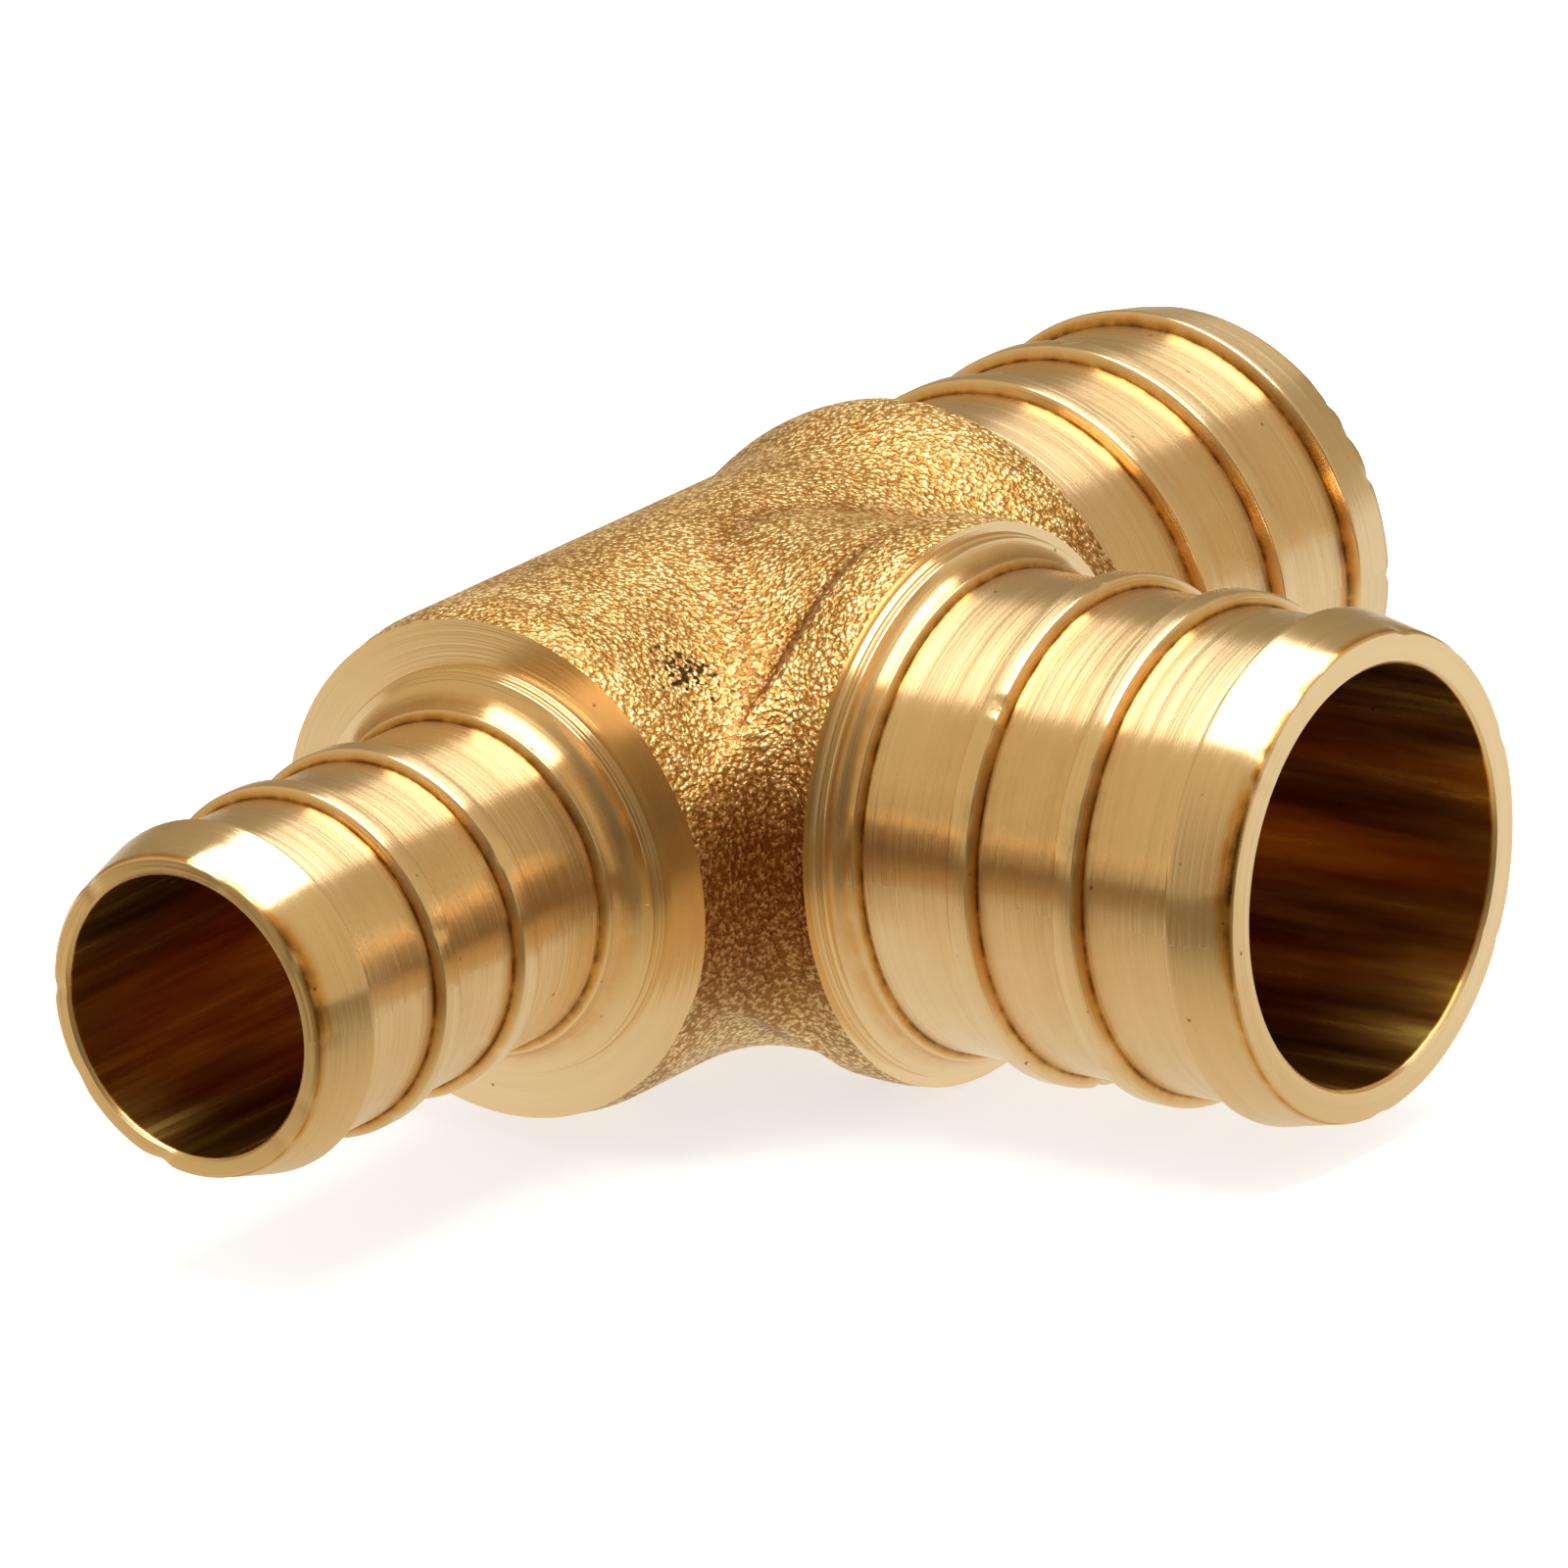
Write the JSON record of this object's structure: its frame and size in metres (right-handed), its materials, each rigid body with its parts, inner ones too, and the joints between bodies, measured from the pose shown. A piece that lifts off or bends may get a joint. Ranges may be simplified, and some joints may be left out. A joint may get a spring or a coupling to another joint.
{
  "type": "barbed reducing tee",
  "caption": "Brass barbed tee for plastic water tube: two large ribbed spigots and one small one, bored through and joined in one forging.",
  "frame": {"origin": "the crossing of the run's axis and the branch's axis", "axes": "+X along the run towards the large spigot, -Y along the branch, +Z square to both"},
  "size_m": [0.0566, 0.0359, 0.019],
  "materials": {
    "brass": "forged skin left sandblasted, spigots and bores turned bright"
  },
  "bodies": {
    "root": {"tee_body": "brass"}
  },
  "joints": []
}
